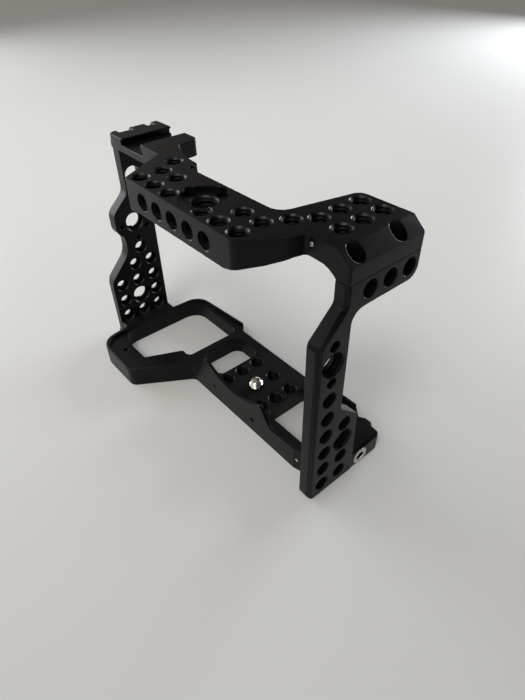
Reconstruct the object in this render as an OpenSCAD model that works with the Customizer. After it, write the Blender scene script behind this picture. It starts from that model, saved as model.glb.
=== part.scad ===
// Camera cage: one machined top frame with a cold shoe and the grip-side upright,
// a port-side plate, a base plate with a captive camera screw, and their fasteners.
// Millimetres. +Z up, +X to the port side, -Y to the front (lens) side.
// Origin: middle of the outside box in X and Y, on the plane the base stands on.
// Tapped holes are drawn at the thread's major diameter.

/* [Outside] */
// half of the outside width along X
half_w = 75; // [70:0.5:85]
// overall height
cage_h = 108.2; // [104:0.1:116]
// forward edge of the tray, and rear edge of the rear rim
half_d = 33.4; // [30:0.1:38]

/* [Plates] */
// top plate thickness
top_t = 7; // [5:0.1:9]
// port side plate thickness
side_t = 5.6; // [4.5:0.1:8]
// grip upright thickness
upright_t = 6; // [4.5:0.1:8]
// base plate thickness up to the camera's seat
base_t = 9; // [8:0.1:12]
// height of the thin lip around the seat
lip_h = 1.5; // [0.5:0.1:3]
// width of the thin lip around the seat
lip_w = 1.6; // [1:0.1:2.5]
// how far the joint between top frame and side plate lies below the top
seam_drop = 10.1; // [9:0.1:13]
// how far the underside of the deep front bar lies below the top
bar_drop = 11.8; // [9.5:0.1:14]
// depth of the front bar from front to rear
bar_d = 8.5; // [8:0.1:11]

/* [Lens relief] */
// lens and tripod axis, along X
lens_x = 17.1; // [14:0.1:20]
// height of the lens axis
lens_z = 49.1; // [46:0.1:52]
// radius of the relief in the front lip
lens_r = 34.5; // [31:0.1:36]
// height of the two humps beside the relief
hump_z = 20.4; // [17:0.1:22]

/* [Threaded holes] */
// 1/4-20 major diameter
quarter_d = 6.35; // [6:0.05:6.6]
// 1/4-20 chamfered mouth diameter
quarter_mouth_d = 6.95; // [6.6:0.05:7.6]
// 3/8-16 major diameter
eighths_d = 9.525; // [9:0.025:10]
// 3/8-16 chamfered mouth diameter
eighths_mouth_d = 10.6; // [10:0.1:11.2]
// locating pin hole diameter beside a 3/8-16 hole
pin_d = 4; // [3:0.1:4.5]
// locating pin hole depth
pin_depth = 4; // [2:0.1:5]
// distance from a 3/8-16 hole to its locating pin holes
pin_off = 7.85; // [7.5:0.05:8.5]
// grid pitch of the 1/4-20 holes
grid = 9.5; // [9:0.1:11]
// depth of the blind 1/4-20 holes in the front bar
front_depth = 7; // [5:0.1:8]

/* [Top socket] */
// diameter of the round recess around the top 3/8-16 hole
socket_d = 17.6; // [16:0.1:19]
// depth of the round recess
socket_depth = 2; // [1:0.1:3]
// radius at which the four pin notches stand
notch_r = 8; // [7.5:0.1:8.6]
// depth of the pin notches from the top face
notch_depth = 3.5; // [2.5:0.1:5]

/* [Cold shoe] */
// width of the slot under the lips
shoe_w = 19; // [18.7:0.05:19.4]
// how far each lip stands over the slot
shoe_lip = 1.2; // [0.8:0.1:2]
// height of the slot between floor and lips
shoe_h = 2.05; // [2:0.05:2.4]
// how far the slot's floor lies below the top
shoe_drop = 4.7; // [4.2:0.1:5.7]
// inner side of the slot towards the lens side, along X
shoe_x = -44.6; // [-46:0.1:-43]
// how far the grip-side shoe block's top lies below the top
shoe_top_drop = 1.7; // [0.7:0.1:2]
// how far the underside of the shoe block and arm lies below the top
arm_drop = 7.9; // [7.2:0.1:10]

/* [Camera screw] */
// distance of the screw behind the middle plane
screw_y = 7.7; // [6:0.1:9]
// thread diameter drawn on the screw
screw_d = 6.2; // [6:0.05:6.3]
// neck diameter
neck_d = 4.6; // [4:0.1:4.8]
// head diameter
head_d = 12; // [10:0.1:12.4]
// head thickness
head_t = 3.1; // [2.5:0.1:3.5]
// height of the screw's tip with the screw lowered
tip_z = 13; // [12:0.1:14]
// hex socket across corners
socket_af = 4.6; // [4:0.1:6]
// counterbore diameter
bore_d = 12.8; // [12.2:0.1:13.2]
// counterbore depth from the underside
bore_depth = 6.5; // [6:0.1:7]
// web hole diameter above the counterbore
web_d = 6.5; // [6.35:0.05:6.8]
// washer thickness
washer_t = 0.9; // [0.6:0.05:1.2]
// how far the screw climbs
climb = 1.91; // [1.5:0.01:2.2]
// running clearance on radius
run = 0.05; // [0.02:0.01:0.1]

/* [Joint screws] */
// shank diameter of the small joint screws
small_d = 2.5; // [2:0.1:2.5]
// head diameter of the top joint screws
cap_d = 5.5; // [4.5:0.1:6]
// head height of the small joint screws
cap_h = 2.5; // [2:0.1:3]
// head diameter of the port foot screws
foot_cap_d = 4.2; // [4:0.1:4.5]
// shank diameter of the grip foot screws
grip_d = 3; // [2.5:0.1:3]
// head diameter of the countersunk grip foot screws
grip_head_d = 5.6; // [5:0.1:5.8]
// dowel diameter
dowel_d = 2; // [1.5:0.1:2.2]
// play on radius between a screw and its hole
play = 0.05; // [0.02:0.01:0.1]

/* [Silver foot screw] */
// head diameter
silver_d = 8; // [6:0.1:8]
// depth of the countersunk cone under the head
silver_t = 1.9; // [1.5:0.1:2.5]
// shank diameter
silver_shank_d = 4; // [3:0.1:5]
// how far the head's rim stands proud of the foot
silver_proud = 0.3; // [0.2:0.1:0.6]
// hex socket across corners
silver_hex = 4.6; // [3:0.1:5]

/* [Hidden] */
$fn = 72;
eps = 0.02;
arc_step = 9;
black_face = [0.13, 0.13, 0.14];
steel_face = [0.75, 0.75, 0.76];
dark_screw = [0.08, 0.08, 0.09];

plate_z = cage_h - top_t;
seam_z = cage_h - seam_drop;
bar_z = cage_h - bar_drop;
shoe_z = cage_h - shoe_drop;
shoe_top = cage_h - shoe_top_drop;
arm_z = cage_h - arm_drop;
side_x = half_w - side_t;
upright_x = -half_w + upright_t;
lip_z = base_t + lip_h;
quarter_r = quarter_d / 2;
quarter_mouth = quarter_mouth_d / 2;
eighths_r = eighths_d / 2;
eighths_mouth = eighths_mouth_d / 2;
front_y = -22;
bar_y = front_y + bar_d;
port_front_y = -2.8;
port_rear_y = 31.9;
wall_y = -6.65;

// plan outlines: [x, y, corner radius]
shoe_gap_right = shoe_x - shoe_lip;
shoe_left = shoe_x - shoe_w;
shoe_gap_left = shoe_left + shoe_lip;
shoe_rear = 22.4;
block_rear = 25.6;
block_bevel = 2;
plate_outline = [
    [shoe_gap_right, 0, 0.4], [-31, -0.4, 1], [-18.5, front_y, 1.5], [45.2, front_y, 4],
    [55.2, -9.8, 6], [57, port_front_y, 1.5], [half_w, port_front_y, 0.8], [half_w, port_rear_y, 1],
    [47.3, port_rear_y, 4], [40.2, 0.8, 6], [-4.8, 0.9, 1], [-12.4, 5.7, 2], [-19, 6.3, 2],
    [-28.6, 8.8, 2], [-34.3, 11.5, 3], [-35.3, 21, 2], [-37.5, shoe_rear, 1.2],
    [shoe_gap_right, shoe_rear, 0.4]];
// region under the plate that the deep bar fills
bar_plan = [
    [-34, 0.6, 0], [-34, -32, 0], [60, -32, 0], [60, -4, 0], [52.5, -4.5, 1],
    [43.5, bar_y, 3], [-12.5, bar_y, 3], [-22, 0.6, 1]];
// front view of the bar: [x, z]
bar_face = [
    [-34, cage_h - 5], [-34, plate_z + 0.6], [-30.5, arm_z], [-20, bar_z - 1], [-11, bar_z], [40, bar_z],
    [45, bar_z + 1.3], [51, bar_z + 2.8], [55.6, plate_z - 0.1], [58, plate_z + 0.8], [58, cage_h - 5]];
end_face = [
    [60, plate_z + 1], [60, plate_z], [64.2, plate_z - 0.2], [66.3, plate_z - 0.9], [68.2, plate_z - 2],
    [side_x, seam_z], [half_w, seam_z], [half_w, cage_h],
    [66, cage_h]];
end_plan = [
    [58, port_front_y, 0], [half_w, port_front_y, 0.8], [half_w, port_rear_y, 1], [58, port_rear_y, 0]];
side_rear = port_rear_y - 0.5;
bevel_z = cage_h - 4.5;
bevel_x = 69.6;

// side view outlines: [y, z, corner radius]
foot_z = 3;
grip_front = -16.9;
grip_rear = 12.75;
upright_face = [
    [0.8, shoe_top - 0.5, 0.4], [0.8, cage_h - 29.2, 6], [-8.4, cage_h - 37.7, 6],
    [-8.4, cage_h - 46.7, 6], [-4.7, cage_h - 51.2, 6],
    [-4.7, 48.5, 12], [grip_front, 35.5, 8], [grip_front, foot_z, 0], [grip_rear, foot_z, 0],
    [grip_rear, shoe_top - 0.5, 0.4]];
plate_front = -13.6;
flange_low = cage_h - 20.5;
plate_foot_rear = 11.3;
side_face = [
    [plate_front, 0, 3.5], [plate_front, cage_h - 28.6, 4], [-2.9, cage_h - 17.9, 3],
    [-2.9, seam_z, 0], [side_rear, seam_z, 0], [side_rear, flange_low, 4.5],
    [0.3, flange_low, 5], [0.3, 45, 2],
    [10.5, 35.5, 3], [plate_foot_rear, base_t + 0.6, 0], [plate_foot_rear, 0, 0]];
side_bevel = 1.6;

// base plan
rear_y = 29.7;
port_wall_y = -5.7;
foot_x = half_w - silver_proud;
base_outline = [
    [upright_x, grip_front, 0], [-64.3, grip_front, 1.5], [-62, -half_d, 11.5],
    [-31.5, -half_d, 5], [-14.4, wall_y, 4], [58.5, wall_y, 2], [62, port_wall_y, 2],
    [side_x, port_wall_y, 0], [side_x, plate_foot_rear, 0], [foot_x, plate_foot_rear, 0],
    [foot_x, 29.5, 3], [69.9, 29.6, 0.8], [68.1, 31.3, 1], [65, 31.3, 1.2], [62.3, 29.6, 1],
    [57.6, half_d, 1.5], [45, half_d, 2], [41.5, rear_y, 3], [-20.5, rear_y, 2], [-24, 33, 2.5],
    [-61.9, 30.3, 9], [-63, grip_rear, 0], [upright_x, grip_rear, 0]];
// inner side of the lip and of the front wall
seat_outline = [
    [-61.7, -16, 2], [-60.4, -half_d + lip_w, 9.9],
    [-32.5, -half_d + lip_w, 3.5], [-15.5, wall_y + lip_w, 2.5], [60.5, wall_y + lip_w, 1],
    [62.5, port_wall_y + lip_w, 1], [half_w + 5, port_wall_y + lip_w, 0], [half_w + 5, half_d + 6, 0],
    [59, half_d + 6, 0], [57.2, half_d - lip_w, 1], [45.4, half_d - lip_w, 1], [40, half_d + 6, 0],
    [-19.5, half_d + 6, 0], [-24.6, 33 - lip_w, 1], [-60.5, 30.4 - lip_w, 7.4]];
battery_outline = [
    [-61.2, -21.8, 8], [-36.7, -21.8, 1.5], [-29.4, -6.2, 2], [-28.2, -4, 1.5], [-22.6, -4, 2.5],
    [-22.6, 27.4, 4], [-61.2, 27.4, 8]];
slot_outline = [[-18.7, -0.5, 6], [-0.4, -0.5, 3], [-0.4, 24.4, 5], [-18.7, 24.4, 5]];
port_open_front = 0.3;
port_opening = [
    [33.1, port_open_front, 3], [60.2, port_open_front, 1], [60.2, 25.4, 4], [33.1, 25.4, 3]];
// pocket in the underside that reaches the front port foot screw
key_pocket = [
    [53, -4.1, 1], [60.2, -4.1, 0.5], [60.2, port_open_front + 0.6, 0], [53, port_open_front + 0.6, 0]];
key_pocket_z = 8;
wall_face = [
    [-17, base_t - 2], [-17, lip_z], [-10.6, lip_z], [-8.7, 13.5], [-6.9, 15.7], [-5.6, 18.4],
    [-4.4, 19.7], [-2.6, hump_z], [36.4, hump_z], [37.6, 19.8], [38.6, 18.4], [39.8, 15.7],
    [41.7, 13.5], [43.7, 11.4], [50, 11.8], [56.3, 12.3], [62.3, 13.1], [side_x, 13.4],
    [side_x, base_t - 2]];

// holes in the top plate: [x, y]
top_holes = [
    [52, 7.4], [52, 7.4 + grid], [52, 7.4 + 2 * grid], [61.5, 7.4], [61.5, 7.4 + grid],
    [61.5, 7.4 + 2 * grid], [46.8, 0.3], [42.1, -7.8], [32.6, -7.8], [42.1, -17.3], [32.6, -17.3],
    [23.1, -17.3], [4, -17.5], [-5.5, -17.5], [-15, -17.5], [-5.5, -8.1], [-15, -8.1], [-20, 0.2]];
top_socket = [14.3, -10.2];
front_hole_x = -7.6;
front_hole_z = cage_h - 6.2;
lock_hole = [-9.9, 2];
lock_hole_d = 2.2;
pocket_r = 2.9;
pocket_x = half_w - 3.4;
pocket_z = cage_h - 6.7;
pocket_y = [2.5, 21.65];
top_shank = 8.2;
top_dowel = [pocket_x, 12.15];
top_dowel_l = 9;

// holes in the grip upright: [y, z]
grip_quarter = [
    [7.45, 41.6], [7.45, 32.1], [7.45, 22.6], [7.45, 13.1], [-1.87, 41.6], [-1.87, 32.1],
    [-1.87, 13.1], [-11.35, 32.1], [-11.35, 22.6], [-11.35, 13.1], [2.9, 49.9]];
grip_eighths = [[-1.87, 22.6], [2.1, 64.4]];
grip_dimples = [[-5.1, 63.5], [2.55, 55.3], [8, 60.7]];
dimple_d = 2.6;
dimple_depth = 1.5;
lug_at = [5.9, cage_h - 21];
lug_d = 8;
lug_mouth_d = 9.2;

// holes in the port side plate: [y, z]
first_z = 6.4;
column_y = -6.6;
column2_y = 3.25;
flange_z = cage_h - 14.9;
eighths_z = cage_h - 38.4;
side_quarter = concat(
    [for (k = [0:5]) [column_y, first_z + grid * k]],
    [[column2_y, first_z], [column2_y, first_z + grid], [column2_y, first_z + 3 * grid]],
    [[7.4, flange_z], [7.4 + grid, flange_z], [7.4 + 2 * grid, flange_z]]);
side_eighths = [[-6.4, eighths_z], [column2_y, 25.6]];
side_pins = [[-6.4, eighths_z - pin_off], [-6.4, eighths_z + pin_off]];

// holes in the base: [x, y]
base_quarter = [
    [4.3, 0.4], [4.3, 9.55], [4.3, 18.7], [lens_x, 18.5], [29.1, 18.5], [29.1, 9.4], [28.5, 1.5]];
tray_hole = [-48.7, -26.1];
small_hole_d = 2.2;
small_hole_depth = 4;
face_holes_x = [3.1, 31.2];
face_hole_z = 7.2;

// fasteners
grip_screw_y = [-11.4, 7.3];
grip_dowel_y = [-5.2, 1.1];
grip_screw_x = -half_w + upright_t / 2;
grip_screw_top = 8.6;
grip_head_t = (grip_head_d - grip_d) / 2;
grip_dowel_d = 3;
grip_dowel_l = 5;
port_screw_y = [-1.675, 8.9];
port_screw_z = 5.9;
port_dowel_z = 2.1;
port_head_x = side_x - 6.4;
port_tip_x = side_x + 4;
port_dowel_l = 7;
wall_screw = [side_x - 9.6, 5.8];
wall_screw_l = 2.4;
set_d = 1.7;
top_set = [58.9, cage_h - 2.8];
silver_at = [16.9, 4.1];
silver_cone_r = silver_shank_d / 2 + silver_t;
silver_tip = foot_x - 8.7;

// camera screw heights
washer_top = bore_depth - climb - run;
washer_low = washer_top - washer_t;
head_top = washer_low - run;
head_low = head_top - head_t;
thread_low = base_t + 0.2;
screw_cone = 0.7;
slot_w = 1.6;
slot_depth = 1.2;
socket_deep = 2;
bore_side = bore_d / 2;

function unit(v) = v / norm(v);
function wrap(a) = a > 180 ? a - 360 : a < -180 ? a + 360 : a;
function flat(p) = [p[0], p[1]];
// points of one rounded corner b between its neighbours a and c
function corner_arc(a, b, c) =
    let (p = flat(b), la = norm(flat(a) - p), lc = norm(flat(c) - p),
        u = (flat(a) - p) / la, v = (flat(c) - p) / lc,
        half = acos(max(-1, min(1, u * v))) / 2,
        r = min(b[2], 0.49 * min(la, lc) * tan(half)))
    r <= 0.01 || half > 89.5 ? [p] :
    let (m = p + unit(u + v) * r / sin(half),
        s = p + u * r / tan(half) - m, e = p + v * r / tan(half) - m,
        a0 = atan2(s[1], s[0]), turn = wrap(atan2(e[1], e[0]) - a0),
        n = max(2, ceil(abs(turn) / arc_step)))
    [for (i = [0:n]) m + r * [cos(a0 + turn * i / n), sin(a0 + turn * i / n)]];
function rounded(pts) =
    let (n = len(pts))
    [for (i = [0:n - 1]) each corner_arc(pts[(i + n - 1) % n], pts[i], pts[(i + 1) % n])];

// a plan outline raised from z0 to z1
module raise(pts, z0, z1)
    translate([0, 0, z0])
        linear_extrude(z1 - z0)
            polygon(rounded(pts));

// a side outline ([y, z]) drawn from x0 to x1
module draw_x(pts, x0, x1)
    translate([x0, 0, 0])
        rotate([90, 0, 90])
            linear_extrude(x1 - x0)
                polygon(rounded(pts));

// a front outline ([x, z]) drawn from y0 to y1
module draw_y(pts, y0, y1)
    translate([0, y1, 0])
        rotate([90, 0, 0])
            linear_extrude(y1 - y0)
                polygon(pts);

// a round hole of radius r through length l, chamfered to radius m at both mouths
module through(r, m, l)
    rotate_extrude()
        polygon([[0, -eps], [m + eps, -eps], [r, m - r], [r, l - m + r], [m + eps, l + eps],
            [0, l + eps]]);

// a blind hole of radius r and depth d from z = 0 down, chamfered to radius m
module blind(r, m, d)
    rotate_extrude()
        polygon([[0, eps], [m + eps, eps], [r, r - m], [r, -d], [0, -d]]);

// holes along X through a plate between x0 and x1, at [y, z]
module across(list, r, m, x0, x1)
    for (p = list)
        translate([x0, p[0], p[1]])
            rotate([0, 90, 0])
                through(r, m, x1 - x0);

// cuts a bevel of c along the edge from p to q ([y, z]) of the face at x, which looks
// along +X (s = 1) or -X (s = -1)
module edge_bevel(x, p, q, c, s = 1)
    translate([x, p[0], p[1]])
        rotate([atan2(q[1] - p[1], q[0] - p[0]) - 90, 0, 0])
            translate([0, 0, -eps])
                linear_extrude(norm(q - p) + 2 * eps)
                    polygon([[-s * (c + eps), -eps], [s * eps, c + eps], [s * eps, -eps]]);

module rod(r, z0, z1)
    translate([0, 0, z0])
        cylinder(r = r, h = z1 - z0);

module top_body() {
    raise(plate_outline, plate_z, cage_h);
    intersection() {
        raise(plate_outline, bar_z - 3, plate_z + 1);
        raise(bar_plan, bar_z - 4, plate_z + 2);
        draw_y(bar_face, -40, 2);
    }
    intersection() {
        raise(end_plan, seam_z, cage_h);
        draw_y(end_face, port_front_y - 1, port_rear_y + 1);
    }
    // shoe block, its floor and the lens-side cheek
    raise([[-half_w + block_bevel, 0, 0], [shoe_gap_left, 0, 0], [shoe_gap_left, block_rear, 0],
        [-half_w + 1, block_rear, 0], [-half_w, block_rear - 1, 0], [-half_w, block_bevel, 0]],
        arm_z, shoe_top);
    translate([-half_w + 1, 0, arm_z])
        cube([shoe_gap_right + half_w + 3, shoe_rear, shoe_z - arm_z]);
    draw_x(upright_face, -half_w, upright_x);
}

module top_frame()
    color(black_face)
        difference() {
            top_body();
            // bevel over the port end
            draw_y([[half_w + 1.2, bevel_z - 1], [half_w + 1.2, cage_h + 1], [bevel_x - 1.2, cage_h + 1]],
                port_front_y - 1, port_rear_y + 1);
            // bevel along the outer top edge of the shoe block
            draw_y([[-half_w - 1, shoe_top - 1.6], [-half_w + 1.6, shoe_top + 1],
                [-half_w - 1, shoe_top + 1]], -1, block_rear + 1);
            // shoe slot and its mouth
            translate([shoe_left, -1, shoe_z])
                cube([shoe_w, block_rear + 2, shoe_h]);
            translate([shoe_gap_left, -1, shoe_z])
                cube([shoe_gap_right - shoe_gap_left, block_rear + 2, cage_h]);
            // two shallow notches in the outer top edge of the shoe block
            for (y = [[4, 10.5], [18.5, shoe_rear - 0.4]])
                translate([-half_w - 1, y[0], shoe_top - 1.2])
                    cube([6, y[1] - y[0], 3]);
            for (p = top_holes)
                translate([p[0], p[1], cage_h])
                    blind(quarter_r, quarter_mouth, cage_h - bar_z + 4);
            for (i = [0:4])
                translate([front_hole_x + i * grid, front_y, front_hole_z])
                    rotate([90, 0, 0])
                        blind(quarter_r, quarter_mouth, front_depth);
            // round socket with its locating notches
            translate([top_socket[0], top_socket[1], 0]) {
                rod(socket_d / 2, cage_h - socket_depth, cage_h + 1);
                translate([0, 0, cage_h - socket_depth])
                    blind(eighths_r, eighths_mouth, top_t + 4);
                rod(eighths_r + 0.8, bar_z - 1, plate_z);
                for (a = [0:90:270])
                    rotate([0, 0, a])
                        translate([notch_r, 0, 0])
                            rod(pin_d / 2, cage_h - notch_depth, cage_h + 1);
            }
            translate([lock_hole[0], lock_hole[1], plate_z])
                through(lock_hole_d / 2, lock_hole_d / 2 + 0.3, top_t);
            for (y = pocket_y)
                translate([pocket_x, y, 0]) {
                    rod(pocket_r, pocket_z, cage_h + 1);
                    rod(small_d / 2 + play, seam_z - 1, pocket_z + 1);
                }
            translate([top_dowel[0], top_dowel[1], 0])
                rod(dowel_d / 2, seam_z - 1, seam_z + top_dowel_l / 2);
            translate([top_set[0], port_front_y, top_set[1]])
                rotate([90, 0, 0])
                    blind(set_d / 2, set_d / 2 + 0.2, wall_screw_l + 0.3);
            // upright
            edge_bevel(-half_w, [grip_front, 0], [grip_front, 45], side_bevel, -1);
            across(grip_quarter, quarter_r, quarter_mouth, -half_w, upright_x);
            across(grip_eighths, eighths_r, eighths_mouth, -half_w, upright_x);
            across([lug_at], lug_d / 2, lug_mouth_d / 2, -half_w, upright_x);
            for (p = grip_dimples)
                translate([upright_x, p[0], p[1]])
                    rotate([0, 90, 0])
                        blind(dimple_d / 2, dimple_d / 2 + 0.3, dimple_depth);
            for (y = grip_screw_y)
                translate([grip_screw_x, y, 0])
                    rod(grip_d / 2 + play, foot_z - 1, grip_screw_top + 0.3);
            for (y = grip_dowel_y)
                translate([grip_screw_x, y, 0])
                    rod(grip_dowel_d / 2, foot_z - 1, foot_z + grip_dowel_l / 2);
        }

module port_side_plate()
    color(black_face)
        difference() {
            draw_x(side_face, side_x, half_w);
            edge_bevel(half_w, [plate_front, -1], [plate_front, seam_z + 1], side_bevel);
            across(side_quarter, quarter_r, quarter_mouth, side_x, half_w);
            across(side_eighths, eighths_r, eighths_mouth, side_x, half_w);
            for (p = side_pins)
                translate([half_w, p[0], p[1]])
                    rotate([0, 90, 0])
                        blind(pin_d / 2, pin_d / 2 + 0.3, pin_depth);
            for (y = pocket_y)
                translate([pocket_x, y, 0])
                    rod(small_d / 2 + play, pocket_z - top_shank - 0.3, seam_z + 1);
            translate([top_dowel[0], top_dowel[1], 0])
                rod(dowel_d / 2, seam_z - top_dowel_l / 2, seam_z + 1);
            for (y = port_screw_y)
                translate([side_x, y, port_screw_z])
                    rotate([0, 90, 0])
                        rod(small_d / 2 + play, -1, port_tip_x - side_x + 0.3);
            for (y = port_screw_y)
                translate([side_x, y, port_dowel_z])
                    rotate([0, 90, 0])
                        rod(dowel_d / 2, -1, port_dowel_l / 2);
        }

module base_body() {
    difference() {
        raise(base_outline, 0, lip_z);
        raise(seat_outline, base_t, lip_z + 1);
    }
    // front wall with the lens relief
    difference() {
        intersection() {
            draw_y(wall_face, wall_y - 1, port_wall_y + lip_w + 0.4);
            raise(base_outline, 1, hump_z + 2);
        }
        raise(seat_outline, 0, hump_z + 3);
        translate([lens_x, 0, lens_z])
            rotate([90, 0, 0])
                cylinder(r = lens_r, h = 20, center = true, $fn = 180);
    }
    // ledge under the upright
    translate([-half_w, grip_front, 0])
        cube([upright_t + 2, grip_rear - grip_front, foot_z]);
}

module base_plate()
    color(black_face)
        difference() {
            base_body();
            raise(battery_outline, -1, lip_z + 1);
            raise(slot_outline, -1, lip_z + 1);
            raise(port_opening, -1, base_t + 1);
            raise(key_pocket, -1, key_pocket_z);
            for (p = base_quarter)
                translate([p[0], p[1], 0])
                    through(quarter_r, quarter_mouth, base_t);
            translate([tray_hole[0], tray_hole[1], base_t])
                blind(small_hole_d / 2, small_hole_d / 2 + 0.3, small_hole_depth);
            for (x = face_holes_x)
                translate([x, wall_y, face_hole_z])
                    rotate([90, 0, 0])
                        blind(small_hole_d / 2, small_hole_d / 2 + 0.3, small_hole_depth);
            // camera screw: counterbore below, web hole above
            translate([lens_x, screw_y, 0]) {
                rod(bore_side, -1, bore_depth);
                rod(web_d / 2, bore_depth - 1, base_t + 1);
            }
            // foot: bevelled outer edge
            draw_y([[foot_x + 0.2, base_t - 1.4], [foot_x + 0.2, base_t + 0.2], [foot_x - 1.4, base_t + 0.2]],
                plate_foot_rear - 1, half_d + 1);
            translate([foot_x - silver_t, silver_at[0], silver_at[1]])
                rotate([0, 90, 0]) {
                    cylinder(r1 = silver_shank_d / 2, r2 = silver_cone_r, h = silver_t);
                    translate([0, 0, silver_t - eps])
                        cylinder(r = silver_cone_r, h = 1);
                    rod(silver_shank_d / 2 + play, silver_tip - foot_x + silver_t - 0.3, 0.2);
                }
            for (y = port_screw_y)
                translate([0, y, port_screw_z])
                    rotate([0, 90, 0]) {
                        rod(foot_cap_d / 2 + play, port_head_x - cap_h - 2, port_head_x);
                        rod(small_d / 2 + play, port_head_x - 1, side_x + 1);
                    }
            for (y = port_screw_y)
                translate([0, y, port_dowel_z])
                    rotate([0, 90, 0])
                        rod(dowel_d / 2, side_x - port_dowel_l / 2, side_x + 1);
            // room for a screw's end behind the plate's lowest holes
            for (y = [column_y, column2_y])
                translate([side_x - 1.2, y, first_z])
                    rotate([0, 90, 0])
                        rod(quarter_r - 0.2, 0, 3);
            translate([wall_screw[0], wall_y, wall_screw[1]])
                rotate([90, 0, 0])
                    blind(set_d / 2, set_d / 2 + 0.2, wall_screw_l + 0.8);
            // grip foot fasteners from beneath
            for (y = grip_screw_y)
                translate([grip_screw_x, y, 0]) {
                    rod(grip_d / 2 + play, -1, foot_z + 1);
                    translate([0, 0, -eps])
                        cylinder(r1 = grip_head_d / 2 + eps, r2 = grip_d / 2, h = grip_head_t + eps);
                }
            for (y = grip_dowel_y)
                translate([grip_screw_x, y, 0])
                    rod(grip_dowel_d / 2, foot_z - grip_dowel_l / 2, foot_z + 1);
        }

// cap screw with its head's seat at z = 0 and its shank below
module cap_screw(shank, l, head, h, socket)
    difference() {
        union() {
            rod(head / 2, 0, h);
            rod(shank / 2, -l, 0.1);
        }
        rod(socket / 2, h * 0.4, h + 1, $fn = 6);
    }

module top_joint_screw(y)
    color(dark_screw)
        translate([pocket_x, y, pocket_z])
            cap_screw(small_d, top_shank, cap_d, cap_h, 2.9);

module top_joint_screw_front() top_joint_screw(pocket_y[0]);
module top_joint_screw_rear() top_joint_screw(pocket_y[1]);

module top_joint_dowel()
    color(steel_face)
        translate([top_dowel[0], top_dowel[1], 0])
            rod(dowel_d / 2, seam_z - top_dowel_l / 2, seam_z + top_dowel_l / 2);

module grip_foot_screw(y)
    color(dark_screw)
        translate([grip_screw_x, y, 0])
            difference() {
                union() {
                    cylinder(r1 = grip_head_d / 2, r2 = grip_d / 2, h = grip_head_t);
                    rod(grip_d / 2, grip_head_t - 0.1, grip_screw_top);
                }
                translate([0, 0, -1])
                    cylinder(r = 1.15, h = 2, $fn = 6);
            }

module grip_foot_screw_front() grip_foot_screw(grip_screw_y[0]);
module grip_foot_screw_rear() grip_foot_screw(grip_screw_y[1]);

module grip_foot_dowel(y)
    color(steel_face)
        translate([grip_screw_x, y, 0])
            rod(grip_dowel_d / 2, foot_z - grip_dowel_l / 2, foot_z + grip_dowel_l / 2);

module grip_foot_dowel_front() grip_foot_dowel(grip_dowel_y[0]);
module grip_foot_dowel_rear() grip_foot_dowel(grip_dowel_y[1]);

module port_foot_screw(y)
    color(dark_screw)
        translate([port_head_x, y, port_screw_z])
            rotate([0, -90, 0])
                cap_screw(small_d, port_tip_x - port_head_x, foot_cap_d, cap_h, 2.3);

module port_foot_screw_front() port_foot_screw(port_screw_y[0]);
module port_foot_screw_rear() port_foot_screw(port_screw_y[1]);

module port_foot_dowel(y)
    color(steel_face)
        translate([side_x, y, port_dowel_z])
            rotate([0, 90, 0])
                rod(dowel_d / 2, -port_dowel_l / 2, port_dowel_l / 2);

module port_foot_dowel_front() port_foot_dowel(port_screw_y[0]);
module port_foot_dowel_rear() port_foot_dowel(port_screw_y[1]);

module camera_screw()
    color(steel_face)
        translate([lens_x, screw_y, 0])
            difference() {
                union() {
                    rod(head_d / 2, head_low, head_top);
                    rod(neck_d / 2, head_top - 0.1, thread_low + 0.1);
                    rod(screw_d / 2, thread_low, tip_z - screw_cone);
                    translate([0, 0, tip_z - screw_cone])
                        cylinder(r1 = screw_d / 2, r2 = screw_d / 2 - screw_cone, h = screw_cone);
                }
                translate([0, 0, head_low - 1])
                    cylinder(r = socket_af / 2, h = socket_deep + 1, $fn = 6);
                translate([-head_d, -slot_w / 2, head_low - 1])
                    cube([2 * head_d, slot_w, slot_depth + 1]);
            }

module screw_washer()
    color(steel_face)
        translate([lens_x, screw_y, 0])
            difference() {
                rod(bore_side - run, washer_low, washer_top);
                rod(neck_d / 2 + run, washer_low - 1, washer_top + 1);
            }

module foot_screw()
    color(steel_face)
        translate([foot_x, silver_at[0], silver_at[1]])
            rotate([0, 90, 0])
                difference() {
                    union() {
                        rod(silver_d / 2, 0, silver_proud);
                        translate([0, 0, -silver_t])
                            cylinder(r1 = silver_shank_d / 2, r2 = silver_cone_r, h = silver_t);
                        rod(silver_shank_d / 2, silver_tip - foot_x, 0.1 - silver_t);
                    }
                    rod(silver_hex / 2, -1.6, 1, $fn = 6);
                }

module set_screw(x, y, z)
    translate([x, y, z])
        rotate([90, 0, 0])
            difference() {
                rod(set_d / 2 - play, -wall_screw_l, 0);
                rod(0.45, -0.8, 1, $fn = 6);
            }

module wall_set_screw()
    color(steel_face)
        set_screw(wall_screw[0], wall_y + 0.5, wall_screw[1]);

module top_set_screw()
    color(steel_face)
        set_screw(top_set[0], port_front_y + 0.1, top_set[1]);

top_frame();
port_side_plate();
base_plate();
top_joint_screw_front();
top_joint_screw_rear();
top_joint_dowel();
grip_foot_screw_front();
grip_foot_screw_rear();
grip_foot_dowel_front();
grip_foot_dowel_rear();
port_foot_screw_front();
port_foot_screw_rear();
port_foot_dowel_front();
port_foot_dowel_rear();
camera_screw();
screw_washer();
foot_screw();
wall_set_screw();
top_set_screw();
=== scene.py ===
"""Camera cage: the looks of a black anodised cage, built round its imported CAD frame.

The three machined pieces are copies of their CAD solids with broken edges, the tapped
holes get helical thread ridges, and the screws are turned afresh.
"""

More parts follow.
